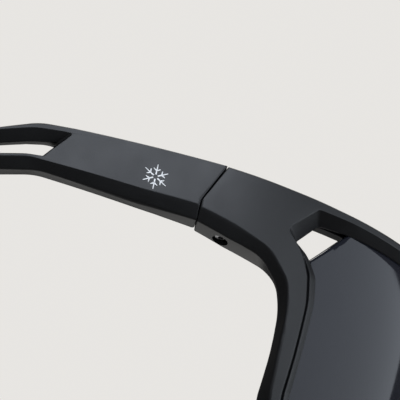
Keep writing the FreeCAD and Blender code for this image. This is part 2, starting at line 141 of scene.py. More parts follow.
softbox("outer_light", (-0.86, -0.02, 0.56), 0.9, 0.7, 3.5, (0.84, 0.90, 1.0))
softbox("front_light", (-0.265, -0.90, 0.275), 1.61, 0.74, 1.35, (0.84, 0.91, 1.0))
softbox("low_light", (0.84, 0.05, -0.54), 1.0, 0.6, 0.9, (1.0, 0.99, 0.97))
softbox("top_light", (0.35, 0.10, 0.93), 1.0, 1.0, 1.6, (1.0, 0.99, 0.97))

# ---- Front frame -------------------------------------------------------------------------------
# One moulding in matte black glass-filled nylon: brow, end pieces, rim and nose arch, 6.3 mm deep
# at the hinges and 4.4 mm at the rim. Its broad bevels, lens groove, hinge slots and screw
# counterbores are moulded in. It wraps on a 71 mm circle.

wrap_radius = 71.0
wrap_centre_y = 14.4
rise_radius = 150.0


def front_wrap(at):
    """Bends a point drawn flat (along, inwards, height) round the front of the glasses."""
    angle = at.x / wrap_radius
    fall = rise_radius - math.sqrt(rise_radius ** 2 - at.z ** 2)
    reach = wrap_radius - at.y - fall
    return Vector((reach * math.sin(angle), wrap_centre_y - reach * math.cos(angle), at.z))


# The seam between front and temple leans forward above its knee and is nearly upright below it.
hinge_x = hinge_at.x * 1000
seam_knee, seam_top = -1.6, 7.65
reach_at_knee, reach_at_top = 5.8, 1.8
lean_below_knee = 0.05
half_gap_on_face, gap_closes_by, gap_closed_at = 0.14, 0.12, 5


def seam_reach(height):
    """How far behind the hinge axis the seam runs at a height."""
    above_knee = height - seam_knee
    if height < seam_knee:
        return reach_at_knee + above_knee * lean_below_knee
    return reach_at_knee - above_knee * (reach_at_knee - reach_at_top) / (seam_top - seam_knee)


def half_gap(depth):
    """Half the width of the seam, which narrows inwards from the face."""
    return half_gap_on_face - gap_closes_by * min(1.0, depth / gap_closed_at)


def front_seam(height, depth):
    """Where along the wrap the end piece stops at a height and depth."""
    fall = rise_radius - math.sqrt(rise_radius ** 2 - height ** 2)
    radius = wrap_radius - depth - fall
    reach = seam_reach(height) - half_gap(depth)
    along = wrap_radius * math.acos((wrap_centre_y - reach) / radius)
    inside = max(0.0, hinge_x - radius * math.sin(along / wrap_radius))
    reach = math.sqrt(reach ** 2 - inside ** 2)
    return wrap_radius * math.acos((wrap_centre_y - reach) / radius)


corner_points = 7
least_turn = 0.01
least_setback = 0.02
share_of_run = 0.48
weld = 0.002


def curve_at(before, corner, after, radius):
    """The points of a round corner between two straight runs."""
    arm_in = before - corner
    arm_out = after - corner
    turn = max(math.pi - arm_in.angle(arm_out), least_turn)
    room_for = share_of_run * min(arm_in.length, arm_out.length)
    setback = min(max(radius * math.tan(turn / 2), least_setback), room_for)
    first = corner + arm_in.normalized() * setback
    last = corner + arm_out.normalized() * setback
    pull = 4 / 3 * math.tan(turn / 4) / math.tan(turn / 2)
    return interpolate_bezier(first, first.lerp(corner, pull), last.lerp(corner, pull), last,
                              corner_points)


def moulding_line(corners, radii, cuts, closed):
    """A line with its corners rounded and each straight run cut into equal pieces."""
    count = len(corners)
    curves = []
    for i, corner in enumerate(corners):
        if not closed and i in (0, count - 1):
            curves.append([corner])
            continue
        curves.append(curve_at(corners[i - 1], corner, corners[(i + 1) % count], radii[i]))
    line = list(curves[0])
    for i in range(1, count + 1 if closed else count):
        start = line[-1]
        following = curves[i % count]
        pieces = cuts[i - 1]
        line += [start.lerp(following[0], k / pieces) for k in range(1, pieces)]
        if i < count:
            line += following
    return line


def across(points, softness):
    """A section through the moulding with its edges softened."""
    count = len(points)
    section = []
    for i, point in enumerate(points):
        if softness[i]:
            curve = curve_at(points[i - 1], point, points[(i + 1) % count], softness[i])
            section += [curve[k] for k in (0, 1, 3, 5, 6)]
        else:
            section.append(point)
    return section


def sleeve(rings):
    """A closed skin pulled from ring to ring and back to the first."""
    skin = bmesh.new()
    verts = [skin.verts.new(at) for at in rings[0]]
    edges = [skin.edges.new((verts[i - 1], verts[i])) for i in range(len(verts))]
    for ring in rings[1:] + rings[:1]:
        pulled = bmesh.ops.extrude_edge_only(skin, edges=edges)["geom"]
        fresh = set(part for part in pulled if isinstance(part, bmesh.types.BMVert))
        verts = [next(edge.other_vert(vert) for edge in vert.link_edges
                      if edge.other_vert(vert) in fresh) for vert in verts]
        for vert, at in zip(verts, ring):
            vert.co = at
        edges = [skin.edges.get((verts[i - 1], verts[i])) for i in range(len(verts))]
    bmesh.ops.remove_doubles(skin, verts=skin.verts, dist=weld)
    bmesh.ops.dissolve_degenerate(skin, edges=skin.edges, dist=weld)
    bmesh.ops.recalc_face_normals(skin, faces=skin.faces)
    return skin


def between(first, second, count):
    """Lines spread evenly between two lines of the moulding."""
    steps = [(k + 1) / (count + 1) for k in range(count)]
    return [[a.lerp(b, step) for a, b in zip(first, second)] for step in steps]


# The broad outer face lies between this line of a softened section and the next.
face_edge = 14
face_lines = 10


def filled_in(lines):
    """A moulding's lines, with more of them laid over its outer face and over its back."""
    return (lines[:face_edge + 1] + between(lines[face_edge], lines[face_edge + 1], face_lines)
            + lines[face_edge + 1:] + between(lines[-1], lines[0], face_lines))


def whole_of(half):
    """The whole closed line from its left half, which starts and ends in the middle."""
    return half + [Vector((-at.x, at.y, at.z)) for at in reversed(half[1:-1])]


def piece_of(shape, name):
    """An object, still in millimetres and as worn, from a finished bmesh."""
    mesh = bpy.data.meshes.new(name)
    shape.to_mesh(mesh)
    shape.free()
    piece = bpy.data.objects.new(name, mesh)
    bpy.context.scene.collection.objects.link(piece)
    return piece


def carve(piece, tool, how):
    """Cuts a closed piece with a tool, or joins the tool to it, and keeps the result."""
    step = piece.modifiers.new("carve", "BOOLEAN")
    step.object = tool
    step.operation = how
    step.solver = "EXACT"
    graph = bpy.context.evaluated_depsgraph_get()
    carved = bpy.data.meshes.new_from_object(piece.evaluated_get(graph))
    piece.modifiers.remove(step)
    piece.data = carved
    bpy.data.objects.remove(tool)


def fit(piece, material, body, node, crease=40):
    """Puts a finished piece in its resting place, on its body, in its finish."""
    piece.data.transform(worn_to_rest)
    for polygon in piece.data.polygons:
        polygon.use_smooth = True
    piece.data.set_sharp_from_angle(angle=math.radians(crease))
    piece.data.materials.clear()
    piece.data.materials.append(material)
    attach(piece, body)
    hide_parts(node)


# Corners of the half moulding from the top middle round to the nose: (along, height, radius).
# "S" marks a corner on the seam with the temple.
back_outer = [(0, 13.6, 0), (14, 13.6, 60), (34, 12.5, 50), (54, 10.35, 60), (72, 8.8, 90),
              (84, 8.1, 90), ("S", 7.65, 0.1), ("S", -2.6, 1.0), ("S", -5.55, 0.2), (95, -6.95, 20),
              (84, -8.4, 7), (80.8, -10.8, 7), (78.8, -16.1, 30), (77.9, -25, 60),
              (77.5, -41.1, 13), (46, -41.1, 60), (21, -38.2, 8), (9.5, -17.5, 7), (5.5, -14.5, 4),
              (0, -14.5, 0)]
side_outer = [(0, 13.6, 0), (14, 13.6, 60), (34, 12.5, 50), (54, 10.35, 60), (72, 8.8, 90),
              (84, 8.1, 90), ("S", 7.65, 0.1), ("S", -2.0, 1.0), ("S", -5.5, 0.2), (95, -6.95, 20),
              (87.5, -7.95, 10), (81.1, -12.6, 8), (78.9, -18, 30), (78.1, -25, 60),
              (77.6, -41.1, 13), (46, -41.1, 60), (21, -38.2, 8), (9.5, -17.5, 7), (5.5, -14.5, 4),
              (0, -14.5, 0)]
face_outer = [(0, 13.2, 0), (14, 13.2, 60), (34, 12.1, 50), (54, 10.0, 60), (72, 8.45, 90),
              (84, 7.75, 90), ("S", 7.3, 0.3), ("S", -1.2, 1.0), ("S", -3.0, 0.3), (96, -4.2, 20),
              (86.6, -6.3, 8), (80.9, -11.6, 7), (79.4, -17.5, 30), (78.8, -25, 60),
              (76.6, -41.0, 12.5), (46, -40.9, 60), (21.3, -37.9, 8), (9.8, -17.2, 7),
              (5.6, -14.1, 4), (0, -14.1, 0)]
ridge = [(0, 12.5, 0), (13.8, 12.5, 60), (33.8, 11.2, 50), (54, 8.65, 60), (67.5, 7.5, 60),
         (77.5, 6.35, 2), (79.6, 3.9, 9), (81.7, 1.6, 9), (83.8, -0.65, 1.5), (80.9, -2.9, 2),
         (78.9, -5.0, 4), (76.9, -7.8, 4), (75.4, -13.7, 20), (74.75, -25, 60), (74.3, -39.6, 11),
         (46, -39.6, 60), (22.5, -36.8, 7), (10.9, -15.4, 7), (6.0, -12.9, 4), (0, -12.9, 0)]
inner = [(0, 10.4, 0), (12, 10.4, 60), (33, 9.15, 50), (54, 6.95, 60), (66, 5.6, 60),
         (74.6, 4.6, 1.0), (76.5, 2.33, 9), (78.0, 0.53, 9), (79.7, -1.5, 1.2), (78.0, -2.9, 9),
         (76.1, -4.4, 1.5), (73.7, -7.2, 3.5), (72.5, -12, 20), (71.9, -25, 60), (71.1, -38.2, 9),
         (46, -38.2, 60), (24, -35.4, 6), (12, -13.5, 7), (6.5, -11.2, 4), (0, -11.2, 0)]
groove_floor = [(0, 12.0, 0), (12, 11.7, 60), (33.4, 10.6, 50), (54, 8.4, 60), (66.9, 6.6, 8),
                (74.6, 4.6, 1.0), (76.5, 2.33, 9), (78.0, 0.53, 9), (79.7, -1.5, 1.2),
                (78.0, -2.9, 9), (76.3, -4.1, 0.8), (75.5, -7.2, 4), (75.2, -12.6, 20),
                (74.3, -25, 60), (73.1, -39.6, 9), (46, -39.6, 60), (22.6, -36.6, 6),
                (10.9, -14.8, 7), (6.0, -12.6, 4), (0, -12.6, 0)]

# How deep each of those corners lies below the face. The bevel round the lens dips at the vent.
end_deep, rim_deep = 6.3, 4.4
lip_deep, vent_deep = 1.6, 3.3
lens_front = 1.95
vent_floor = 3.5
lens_behind = 3.88
back_depth = [end_deep] * 6 + [5.4] + [end_deep] * 3 + [6.0, 4.9] + [rim_deep] * 8
side_depth = [0.5] * 7 + [0.4, 1.5, 1.5, 1.6, 2.7, 3.6, 3.9, 3.8] + [0.6] * 5
lip_depth = [lip_deep] * 5 + [vent_deep] * 4 + [lip_deep] * 11
groove_front = [lens_front] * 5 + [vent_floor] * 4 + [lens_front] * 11
groove_back = [lens_behind] * len(inner)
on_face = [0.0] * len(inner)

cut_length = 2.2
run_cuts = []
for here, there in zip(back_outer, back_outer[1:]):
    start, end = [front_seam(at[1], end_deep) if at[0] == "S" else at[0]
                  for at in (here, there)]
    run = math.hypot(end - start, there[1] - here[1])
    run_cuts.append(max(1, round(run / cut_length)))


def ring_of(corners, depths):
    """The whole closed line from its left half, drawn at a depth below the face."""
    points = []
    for (along, height, _), depth in zip(corners, depths):
        points.append(Vector((front_seam(height, depth) if along == "S" else along, depth, height)))
    radii = [corner[2] for corner in corners]
    return whole_of(moulding_line(points, radii, run_cuts, closed=False))


ridge_ring = ring_of(ridge, on_face)
lip_ring = ring_of(inner, lip_depth)

# The step beside the lens: how far down the bevel each of its lines lies, and how deep.
step_lines = [(0.06, 0.95), (0.22, 1.0), (0.27, 0.42)]
step_below, step_fades_over = -4.5, 3.0


def rim_step(share, depth):
    """A line part way down the inner bevel, which leaves it for a step where it is the rim's."""
    line = []
    for top, low in zip(ridge_ring, lip_ring):
        at = top.lerp(low, share)
        on_rim = max(0.0, min(1.0, (step_below - top.z) / step_fades_over))
        at.y += (depth - at.y) * on_rim
        line.append(at)
    return line


sections = zip(ring_of(back_outer, back_depth), ring_of(side_outer, side_depth),
               ring_of(face_outer, on_face), ridge_ring,
               *[rim_step(*step_line) for step_line in step_lines], lip_ring,
               ring_of(inner, groove_front), ring_of(groove_floor, groove_front),
               ring_of(groove_floor, groove_back), ring_of(inner, groove_back),
               ring_of(inner, back_depth))
edge_softness = [0.5, 0.6, 0.7, 0.8, 0, 0, 0.12, 0.12, 0, 0, 0, 0, 0.4]
lines = [list(line) for line in zip(*[across(section, edge_softness) for section in sections])]
front_shape = sleeve([[front_wrap(at) for at in line] for line in filled_in(lines)])
front_frame = piece_of(front_shape, "front_frame_moulding")

# The slot for the tongue, open to the back and the inside, and the stepped hole for the screw.
slot_radius = 2.5
slot_half_height = 2.4
slot_side = -0.7
slot_run = 20
hinge_tools = bmesh.new()
slot_start = hinge_x - math.sqrt(slot_radius ** 2 - slot_side ** 2)
first = hinge_tools.verts.new((slot_start, slot_side, -slot_half_height))
sweep = math.pi + math.asin(slot_side / slot_radius)
round_end = bmesh.ops.spin(hinge_tools, geom=[first], cent=(hinge_x, 0, 0), axis=(0, 0, 1),
                           angle=sweep, steps=20, use_merge=False, use_duplicate=False)
last = round_end["geom_last"][0]
corners = [hinge_tools.verts.new((x, y, -slot_half_height))
           for x, y in ((hinge_x + slot_radius, slot_run), (hinge_x - slot_run, slot_run),
                        (hinge_x - slot_run, slot_side))]
for a, b in zip([last] + corners, corners + [first]):
    hinge_tools.edges.new((a, b))
plan = bmesh.ops.contextual_create(hinge_tools, geom=hinge_tools.edges[:])["faces"]
upper = bmesh.ops.extrude_face_region(hinge_tools, geom=plan)["geom"]
upper = [part for part in upper if isinstance(part, bmesh.types.BMVert)]
bmesh.ops.translate(hinge_tools, verts=upper, vec=(0, 0, 2 * slot_half_height))
bmesh.ops.recalc_face_normals(hinge_tools, faces=hinge_tools.faces)


def turned_solid(profile, steps=40):
    """A turned shape about the left hinge axis, from its (radius, height) profile."""
    shape = bmesh.new()
    verts = [shape.verts.new((hinge_x + radius, 0, height)) for radius, height in profile]
    edges = [shape.edges.new(pair) for pair in zip(verts, verts[1:])]
    bmesh.ops.spin(shape, geom=verts + edges, cent=(hinge_x, 0, 0), axis=(0, 0, 1),
                   angle=2 * math.pi, steps=steps, use_merge=True, use_duplicate=False)
    bmesh.ops.remove_doubles(shape, verts=shape.verts, dist=0.0005)
    bmesh.ops.recalc_face_normals(shape, faces=shape.faces)
    return shape


def with_other_side(shape):
    """The shape together with its mirror image on the wearer's right."""
    bmesh.ops.mirror(shape, geom=shape.verts[:] + shape.edges[:] + shape.faces[:],
                     matrix=Matrix.Identity(4), merge_dist=0, axis="X")
    bmesh.ops.recalc_face_normals(shape, faces=shape.faces)
    return shape


counterbore_radius = 1.65
counterbore_low = -12
head_seat = -5.1
shank_hole_radius = 0.85
insert_radius = 1.3
insert_top = 5.9
screw_hole = [(0, counterbore_low), (counterbore_radius, counterbore_low),
              (counterbore_radius, head_seat), (shank_hole_radius, head_seat),
              (shank_hole_radius, 0), (insert_radius, 0), (insert_radius, insert_top),
              (0, insert_top)]
carve(front_frame, piece_of(with_other_side(hinge_tools), "slot_tool"), "DIFFERENCE")
carve(front_frame, piece_of(with_other_side(turned_solid(screw_hole)), "bore_tool"), "DIFFERENCE")


def moulded(name, colour, roughness, grain, relief):
    """A matte moulded finish: fine spark-eroded grain and a faintly clouded sheen."""
    material = bpy.data.materials.new(name)
    material.use_nodes = True
    nodes = material.node_tree.nodes
    links = material.node_tree.links
    shader = nodes["Principled BSDF"]
    place = nodes.new("ShaderNodeTexCoord")
    fine = nodes.new("ShaderNodeTexNoise")
    fine.inputs["Scale"].default_value = grain
    fine.inputs["Detail"].default_value = 3
    cloud = nodes.new("ShaderNodeTexNoise")
    cloud.inputs["Scale"].default_value = 120
    cloud.inputs["Detail"].default_value = 4
    for noise in (fine, cloud):
        links.new(place.outputs["Object"], noise.inputs["Vector"])
    sheen = nodes.new("ShaderNodeMapRange")
    sheen.inputs["From Min"].default_value = 0.3
    sheen.inputs["From Max"].default_value = 0.7
    sheen.inputs["To Min"].default_value = roughness - 0.04
    sheen.inputs["To Max"].default_value = roughness + 0.05
    links.new(cloud.outputs["Fac"], sheen.inputs["Value"])
    links.new(sheen.outputs["Result"], shader.inputs["Roughness"])
    tone = nodes.new("ShaderNodeMix")
    tone.data_type = "RGBA"
    tone.inputs["A"].default_value = (*[0.85 * part for part in colour], 1)
    tone.inputs["B"].default_value = (*[1.15 * part for part in colour], 1)
    links.new(fine.outputs["Fac"], tone.inputs["Factor"])
    links.new(tone.outputs["Result"], shader.inputs["Base Color"])
    bump = nodes.new("ShaderNodeBump")
    bump.inputs["Strength"].default_value = 0.6
    bump.inputs["Distance"].default_value = relief
    links.new(fine.outputs["Fac"], bump.inputs["Height"])
    links.new(bump.outputs["Normal"], shader.inputs["Normal"])
    return material


frame_nylon = moulded("black_nylon", colour=(0.006, 0.0063, 0.0072), roughness=0.40, grain=2600,
                      relief=0.000012)
fit(front_frame, frame_nylon, "front", "front_frame")

# ---- Shield lens -------------------------------------------------------------------------------
# One dark grey polycarbonate shield, 1.8 mm thick, moulded to the same curve. It drops into the
# groove of the frame, and its upper outer corners are cut off to leave two vents. The edge is
# polished to a small bevel.

lens_thickness = 1.8
lens_play = 0.05
lens_low, lens_high = -39.4, 11.8
front_bevel, rear_bevel = 0.45, 0.2
lens_half = [(0, 11.8, 0), (6, 11.8, 60), (34, 10.4, 50), (54, 8.2, 60), (66.5, 6.4, 1.4),
             (75.6, -3.9, 1.0), (75.0, -13, 20), (74.0, -25, 60), (72.8, -39.4, 9), (46, -39.4, 60),
             (22.8, -36.4, 6), (11.1, -14.6, 7), (6.0, -12.4, 4), (0, -12.4, 0)]


def plate(line, thickness_way):
    """A flat plate from its closed outline, with its thickness along a vector."""
    shape = bmesh.new()
    verts = [shape.verts.new(at) for at in line]
    edges = [shape.edges.new((verts[i - 1], verts[i])) for i in range(len(verts))]
    faces = bmesh.ops.contextual_create(shape, geom=edges)["faces"]
    moved = bmesh.ops.extrude_face_region(shape, geom=faces)["geom"]
    moved = [part for part in moved if isinstance(part, bmesh.types.BMVert)]
    bmesh.ops.translate(shape, verts=moved, vec=thickness_way)
    bmesh.ops.recalc_face_normals(shape, faces=shape.faces)
    return shape


def ease_edges(shape, width, segments, lies_on):
    """Rounds the rim edges for which lies_on(vertex) holds at both ends."""
    edges = [edge for edge in shape.edges if all(lies_on(vert.co) for vert in edge.verts)]
    bmesh.ops.bevel(shape, geom=edges, offset=width, offset_type="OFFSET", segments=segments,
                    profile=0.5, affect="EDGES", material=-1, clamp_overlap=True)


def slice_up(shape, axis, start, end, step):
    """Cuts the faces across at even steps, so that a flat plate can bend smoothly."""
    normal = Vector((0, 0, 0))
    normal[axis] = 1
    for k in range(1, int((end - start) / step)):
        at = Vector((0, 0, 0))
        at[axis] = start + k * step
        bmesh.ops.bisect_plane(shape, geom=shape.verts[:] + shape.edges[:] + shape.faces[:],
                               dist=0.0001, plane_co=at, plane_no=normal)


lens_corners = [Vector((along, lens_front + lens_play, height)) for along, height, _ in lens_half]
lens_radii = [corner[2] for corner in lens_half]
lens_cuts = [8] * (len(lens_half) - 1)
lens_line = whole_of(moulding_line(lens_corners, lens_radii, lens_cuts, closed=False))
lens_shape = plate(lens_line, (0, lens_thickness, 0))
ease_edges(lens_shape, front_bevel, 3, lambda at: at.y < lens_front + 2 * lens_play)
ease_edges(lens_shape, rear_bevel, 2, lambda at: at.y > lens_front + lens_thickness)
slice_up(lens_shape, axis=0, start=-76.0, end=76.0, step=1.9)
slice_up(lens_shape, axis=2, start=lens_low, end=lens_high, step=3.2)
for vert in lens_shape.verts:
    vert.co = front_wrap(vert.co)
bmesh.ops.recalc_face_normals(lens_shape, faces=lens_shape.faces)
shield = piece_of(lens_shape, "shield_lens_moulding")

lens_glass = bpy.data.materials.new("smoke_lens")
lens_glass.use_nodes = True
lens_nodes = lens_glass.node_tree.nodes
lens_links = lens_glass.node_tree.links
lens_shader = lens_nodes["Principled BSDF"]
lens_shader.inputs["IOR"].default_value = 1.43
lens_place = lens_nodes.new("ShaderNodeTexCoord")
lens_haze = lens_nodes.new("ShaderNodeTexNoise")
lens_haze.inputs["Scale"].default_value = 60
lens_links.new(lens_place.outputs["Object"], lens_haze.inputs["Vector"])
lens_polish = lens_nodes.new("ShaderNodeMapRange")
lens_polish.inputs["To Min"].default_value = 0.05
lens_polish.inputs["To Max"].default_value = 0.08
lens_links.new(lens_haze.outputs["Fac"], lens_polish.inputs["Value"])
lens_links.new(lens_polish.outputs["Result"], lens_shader.inputs["Roughness"])
lens_tone = lens_nodes.new("ShaderNodeMix")
lens_tone.data_type = "RGBA"
lens_tone.inputs["A"].default_value = (0.010, 0.011, 0.016, 1)
lens_tone.inputs["B"].default_value = (0.014, 0.015, 0.021, 1)
lens_links.new(lens_haze.outputs["Fac"], lens_tone.inputs["Factor"])
lens_links.new(lens_tone.outputs["Result"], lens_shader.inputs["Base Color"])
fit(shield, lens_glass, "front", "shield_lens", crease=25)

# ---- Temples -----------------------------------------------------------------------------------
# A nylon moulding each: a flat panel at the hinge forks into a thin upper rail, bevelled along
# its slot, and a deeper lower rail. A tongue with a brass bush turns in the front's slot. They
# leave the front 8 degrees outwards and curve back in on a 220 mm circle.

temple_radius = 220.0
temple_start = math.radians(-8)
seam_angle = math.radians(82)
temple_centre = Vector((wrap_radius * math.sin(seam_angle) - temple_radius * math.cos(temple_start),
                        wrap_centre_y - wrap_radius * math.cos(seam_angle)
                        - temple_radius * math.sin(temple_start), 0))


def temple_wrap(at):
    """Bends a point drawn flat (outwards, along, height) to the left temple's curve."""
    angle = temple_start + at.y / temple_radius
    reach = temple_radius + at.x
    return temple_centre + Vector((reach * math.cos(angle), reach * math.sin(angle), at.z))


def temple_seam(height, depth):
    """Where along the temple it starts at a height and depth."""
    behind = seam_reach(height) + half_gap(depth) - temple_centre.y
    return temple_radius * (math.asin(behind / (temple_radius - depth)) - temple_start)


# Corners round the temple from the top of the seam: (along, height, radius); "S" is on the seam.
arm_back = [("S", 7.65, 0.1), (29, 6.35, 20), (36.3, 5.85, 14), (44.5, 2.65, 30), (78, -7.4, 0.3),
            (78, -14.8, 0.3), (44.5, -6.25, 30), (35, -3.8, 14), (11, -5.45, 60), ("S", -5.45, 0.2),
            ("S", -2.6, 1.0)]
arm_side = [("S", 7.65, 0.1), (29, 6.35, 20), (36.3, 5.85, 14), (44.5, 2.65, 30), (78, -7.4, 0.3),
            (78, -14.8, 0.3), (44.5, -6.25, 30), (34.5, -4.1, 14), (16, -5.5, 60),
            ("S", -5.45, 0.2), ("S", -2.0, 1.0)]
arm_face = [("S", 7.3, 0.25), (29, 6.0, 20), (36.3, 5.5, 14), (44.5, 2.3, 30), (77.8, -7.7, 0.3),
            (77.8, -12.9, 0.3), (44.5, -4.1, 30), (37, -2.2, 10), (11, -3.0, 60), ("S", -2.6, 0.4),
            ("S", -1.0, 1.0)]
slot_face = [(29.2, 4.95, 0.3), (31.5, 4.85, 20), (36.9, 4.35, 14), (44.5, 1.9, 30),
             (74.8, -7.9, 0.8), (75.3, -11.3, 0.8), (44.5, -3.45, 30), (37.5, -1.75, 14),
             (34.1, -1.5, 0.5), (32.5, 0.65, 9), (30.8, 2.8, 9)]
slot_side_line = [(31.2, 3.0, 0.5), (33.0, 2.65, 20), (37.3, 1.8, 14), (44.5, -0.45, 30),
                  (74.0, -9.3, 0.8), (74.9, -11.0, 0.8), (44.5, -3.2, 30), (37.3, -1.5, 14),
                  (34.2, -1.25, 0.5), (33.2, 0.2, 9), (32.2, 1.6, 9)]
slot_back = [(32.2, 2.7, 0.5), (34.2, 2.35, 20), (38.2, 1.35, 14), (44.5, -0.5, 30),
             (74.0, -9.4, 0.8), (74.8, -11.0, 0.8), (44.5, -3.2, 30), (37.3, -1.5, 14),
             (34.3, -1.2, 0.5), (33.6, 0.1, 9), (32.9, 1.4, 9)]
arm_back_depth = [5.3, 4.6, 3.1, 3.1, 4.2, 4.8, 4.8, 4.8, 4.8, 5.6, 5.5]
arm_side_depth = [0.5, 0.5, 0.5, 0.5, 0.5, 1.5, 1.5, 1.5, 1.5, 1.5, 0.4]
slot_side_depth = [1.5, 1.5, 1.5, 1.5, 1.3, 0.5, 0.5, 0.5, 0.5, 0.6, 0.9]
slot_back_depth = [3.8, 3.3, 3.1, 3.1, 4.0, 4.8, 4.8, 4.8, 4.8, 4.8, 4.5]
arm_cuts = [12, 4, 4, 16, 3, 16, 4, 10, 5, 2, 4]


def arm_line(corners, depths):
    """A closed line round the temple, drawn at a depth below its face."""
    points = [Vector((-depth, temple_seam(height, depth) if along == "S" else along, height))
              for (along, height, _), depth in zip(corners, depths)]
    return moulding_line(points, [corner[2] for corner in corners], arm_cuts, closed=True)


flush = [0.0] * len(arm_face)
arm_sections = zip(arm_line(arm_back, arm_back_depth), arm_line(arm_side, arm_side_depth),
                   arm_line(arm_face, flush), arm_line(slot_face, flush),
                   arm_line(slot_side_line, slot_side_depth), arm_line(slot_back, slot_back_depth))
arm_softness = [0.5, 0.6, 0.6, 0.35, 0.35, 0.4]
arm_lines = [list(line)
             for line in zip(*[across(section, arm_softness) for section in arm_sections])]
temple_shape = sleeve([[temple_wrap(at) for at in line] for line in filled_in(arm_lines)])
temple = piece_of(temple_shape, "temple_moulding")

tongue_radius = 2.2
tongue_half_height = 2.3
neck_inner = -0.4
neck_length = 8
neck_width = tongue_radius - neck_inner
neck_x = hinge_x + (tongue_radius + neck_inner) / 2
neck = bmesh.new()
bmesh.ops.create_cube(neck, size=1)
bmesh.ops.scale(neck, verts=neck.verts, vec=(neck_width, neck_length, 2 * tongue_half_height))
bmesh.ops.translate(neck, verts=neck.verts, vec=(neck_x, neck_length / 2, 0))
bmesh.ops.bevel(neck, geom=neck.edges[:], offset=0.3, offset_type="OFFSET", segments=3,
                profile=0.5, affect="EDGES", material=-1, clamp_overlap=True)
carve(temple, piece_of(neck, "neck_tool"), "UNION")
tongue = turned_solid([(0, -tongue_half_height), (tongue_radius, -tongue_half_height),
                       (tongue_radius, tongue_half_height), (0, tongue_half_height)])
carve(temple, piece_of(tongue, "tongue_tool"), "UNION")
bush_radius = 1.3
bush_hole = turned_solid([(0, -4), (bush_radius, -4), (bush_radius, 4), (0, 4)])
carve(temple, piece_of(bush_hole, "bush_tool"), "DIFFERENCE")


def both_sides(left, stem, material, body, crease=40):
    """Fits a finished left-hand piece and its mirror image on the right."""
    right = bpy.data.objects.new(stem + "_right_part", left.data.copy())
    bpy.context.scene.collection.objects.link(right)
    right.data.transform(Matrix.Scale(-1, 4, (1, 0, 0)))
    right.data.flip_normals()
    left.name = stem + "_left_part"
    for piece, side in ((left, "left"), (right, "right")):
        rides_on = body + "_" + side if body == "temple" else body
        fit(piece, material, rides_on, stem + "_" + side, crease)


both_sides(temple, "temple", frame_nylon, "temple")

# ---- Temple grips ------------------------------------------------------------------------------
# Soft black rubber tips, moulded over the thin tails of the temples, with rounded edges and a
# row of shallow gripping grooves across both faces.

grip_start = 78.03
grip_end = 116.0
grip_thickness = 4.7
grip_rounding = 1.1
grip_outline = [(grip_start, -7.5, 0.2), (100, -14.6, 40), (grip_end, -22.6, 3.0),
                (grip_end - 1.5, -28.8, 3.0), (98, -21.0, 40), (grip_start, -14.7, 0.2)]
grip_corners = [Vector((-grip_thickness, along, height)) for along, height, _ in grip_outline]
grip_radii = [corner[2] for corner in grip_outline]
grip_line = moulding_line(grip_corners, grip_radii, [8, 6, 2, 6, 8, 2], closed=True)
grip_shape = plate(grip_line, (grip_thickness, 0, 0))
for face_x in (0, -grip_thickness):
    ease_edges(grip_shape, grip_rounding, 5,
               lambda at: abs(at.x - face_x) < 0.01 and at.y > grip_start + 0.01)
slice_up(grip_shape, axis=1, start=grip_start, end=grip_end, step=0.55)
slice_up(grip_shape, axis=2, start=-28.0, end=-8.0, step=2.0)
groove_pitch = 2.2
groove_depth = 0.28
groove_reach = 2.6
grooves_from, grooves_to = 92.0, 109.5
tail_from, tail_height, tail_slope = 78, 11.2, 0.46
for vert in grip_shape.verts:
    slope = -tail_slope * (vert.co.y - tail_from)
    inset = abs(vert.co.z + tail_height - slope)
    if grooves_from < vert.co.y < grooves_to and inset < groove_reach:
        wave = max(0.0, math.cos(2 * math.pi * (vert.co.y - grooves_from) / groove_pitch))
        depth = groove_depth * wave * (1 - inset / groove_reach)
        vert.co.x -= math.copysign(depth, vert.co.x + grip_thickness / 2)
    vert.co = temple_wrap(vert.co)
bmesh.ops.recalc_face_normals(grip_shape, faces=grip_shape.faces)
grip_rubber = moulded("grip_rubber", colour=(0.018, 0.018, 0.020), roughness=0.62, grain=1500,
                      relief=0.00003)
both_sides(piece_of(grip_shape, "grip"), "temple_grip", grip_rubber, "temple",
           crease=60)

# ---- Printed marks -----------------------------------------------------------------------------
# A plain snow crystal in white pad print on each temple's panel, 5.5 mm across and less than a
# tenth of a millimetre thick: six separate arms with two twigs each.

mark_along, mark_height = 11.3, 0.4
mark_reach = 2.75
mark_line = 0.32
mark_thickness = 0.07
mark_lift = 0.01
bar_taper = 0.45
arm_start = 0.5
twig_start, twig_length = 1.35, 0.85
twig_turn = math.radians(58)
mark_shape = bmesh.new()


def printed_bar(length, start, at_angle, turn):
    """One printed bar that starts part way out along an arm and turns away from it."""
    bar = bmesh.ops.create_cube(mark_shape, size=1)["verts"]
    bmesh.ops.scale(mark_shape, verts=bar, vec=(mark_thickness, length, mark_line))
    bmesh.ops.translate(mark_shape, verts=bar, vec=(mark_thickness / 2, length / 2, 0))
    tips = [vert for vert in bar if vert.co.y > length / 2]
    bmesh.ops.scale(mark_shape, verts=tips, vec=(1, 1, bar_taper))
    bmesh.ops.rotate(mark_shape, verts=bar, cent=(0, 0, 0),
                     matrix=Matrix.Rotation(turn, 3, "X"))
    bmesh.ops.translate(mark_shape, verts=bar, vec=(0, start, 0))
    bmesh.ops.rotate(mark_shape, verts=bar, cent=(0, 0, 0),
                     matrix=Matrix.Rotation(at_angle, 3, "X"))


